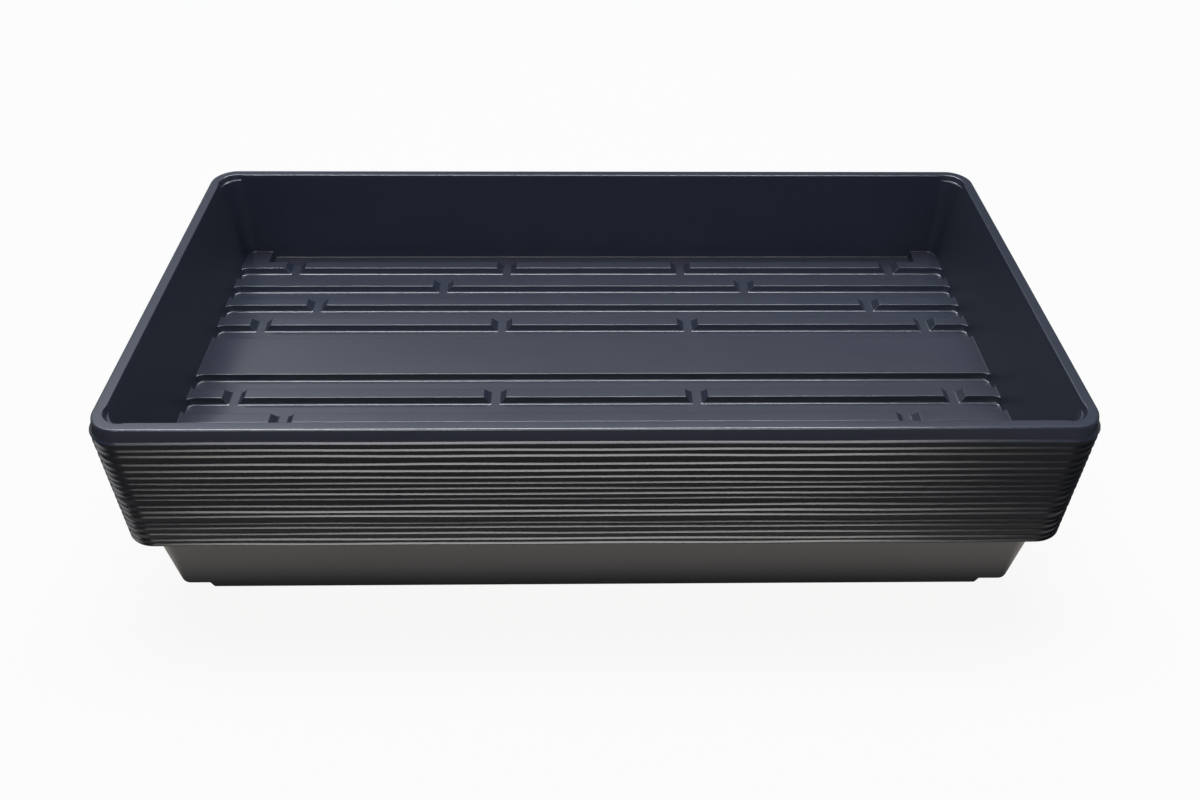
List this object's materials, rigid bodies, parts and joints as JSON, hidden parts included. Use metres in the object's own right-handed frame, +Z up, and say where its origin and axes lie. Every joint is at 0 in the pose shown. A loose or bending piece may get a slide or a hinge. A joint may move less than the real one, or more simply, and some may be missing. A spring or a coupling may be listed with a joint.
{
  "type": "nest of plant growing trays",
  "caption": "Nest of thin black rectangular seed and plant trays with barred floors, drafted walls and flared rims; each tray lifts straight out of the one below.",
  "frame": {"origin": "middle of the nest's footprint, on the underside of the bottom tray", "axes": "+X along the trays' length, +Y across their width, +Z up"},
  "size_m": [0.544, 0.281, 0.143],
  "materials": {
    "black_sheet": "near-black formed styrene sheet with a soft gloss"
  },
  "bodies": {
    "bottom_tray": {"bottom_tray": "black_sheet"},
    "tray_02": {"tray_02": "black_sheet"},
    "tray_03": {"tray_03": "black_sheet"},
    "tray_04": {"tray_04": "black_sheet"},
    "tray_05": {"tray_05": "black_sheet"},
    "tray_06": {"tray_06": "black_sheet"},
    "tray_07": {"tray_07": "black_sheet"},
    "tray_08": {"tray_08": "black_sheet"},
    "tray_09": {"tray_09": "black_sheet"},
    "tray_10": {"tray_10": "black_sheet"},
    "tray_11": {"tray_11": "black_sheet"},
    "tray_12": {"tray_12": "black_sheet"},
    "tray_13": {"tray_13": "black_sheet"},
    "tray_14": {"tray_14": "black_sheet"},
    "tray_15": {"tray_15": "black_sheet"},
    "tray_16": {"tray_16": "black_sheet"},
    "tray_17": {"tray_17": "black_sheet"},
    "top_tray": {"top_tray": "black_sheet"}
  },
  "joints": [
    {"name": "tray_02_lift", "type": "slide", "parent": "bottom_tray", "child": "tray_02", "axis": [0, 0, 1], "range_m": [0, 0.07]},
    {"name": "tray_03_lift", "type": "slide", "parent": "tray_02", "child": "tray_03", "axis": [0, 0, 1], "range_m": [0, 0.07]},
    {"name": "tray_04_lift", "type": "slide", "parent": "tray_03", "child": "tray_04", "axis": [0, 0, 1], "range_m": [0, 0.07]},
    {"name": "tray_05_lift", "type": "slide", "parent": "tray_04", "child": "tray_05", "axis": [0, 0, 1], "range_m": [0, 0.07]},
    {"name": "tray_06_lift", "type": "slide", "parent": "tray_05", "child": "tray_06", "axis": [0, 0, 1], "range_m": [0, 0.07]},
    {"name": "tray_07_lift", "type": "slide", "parent": "tray_06", "child": "tray_07", "axis": [0, 0, 1], "range_m": [0, 0.07]},
    {"name": "tray_08_lift", "type": "slide", "parent": "tray_07", "child": "tray_08", "axis": [0, 0, 1], "range_m": [0, 0.07]},
    {"name": "tray_09_lift", "type": "slide", "parent": "tray_08", "child": "tray_09", "axis": [0, 0, 1], "range_m": [0, 0.07]},
    {"name": "tray_10_lift", "type": "slide", "parent": "tray_09", "child": "tray_10", "axis": [0, 0, 1], "range_m": [0, 0.07]},
    {"name": "tray_11_lift", "type": "slide", "parent": "tray_10", "child": "tray_11", "axis": [0, 0, 1], "range_m": [0, 0.07]},
    {"name": "tray_12_lift", "type": "slide", "parent": "tray_11", "child": "tray_12", "axis": [0, 0, 1], "range_m": [0, 0.07]},
    {"name": "tray_13_lift", "type": "slide", "parent": "tray_12", "child": "tray_13", "axis": [0, 0, 1], "range_m": [0, 0.07]},
    {"name": "tray_14_lift", "type": "slide", "parent": "tray_13", "child": "tray_14", "axis": [0, 0, 1], "range_m": [0, 0.07]},
    {"name": "tray_15_lift", "type": "slide", "parent": "tray_14", "child": "tray_15", "axis": [0, 0, 1], "range_m": [0, 0.07]},
    {"name": "tray_16_lift", "type": "slide", "parent": "tray_15", "child": "tray_16", "axis": [0, 0, 1], "range_m": [0, 0.07]},
    {"name": "tray_17_lift", "type": "slide", "parent": "tray_16", "child": "tray_17", "axis": [0, 0, 1], "range_m": [0, 0.07]},
    {"name": "top_tray_lift", "type": "slide", "parent": "tray_17", "child": "top_tray", "axis": [0, 0, 1], "range_m": [0, 0.07]}
  ]
}
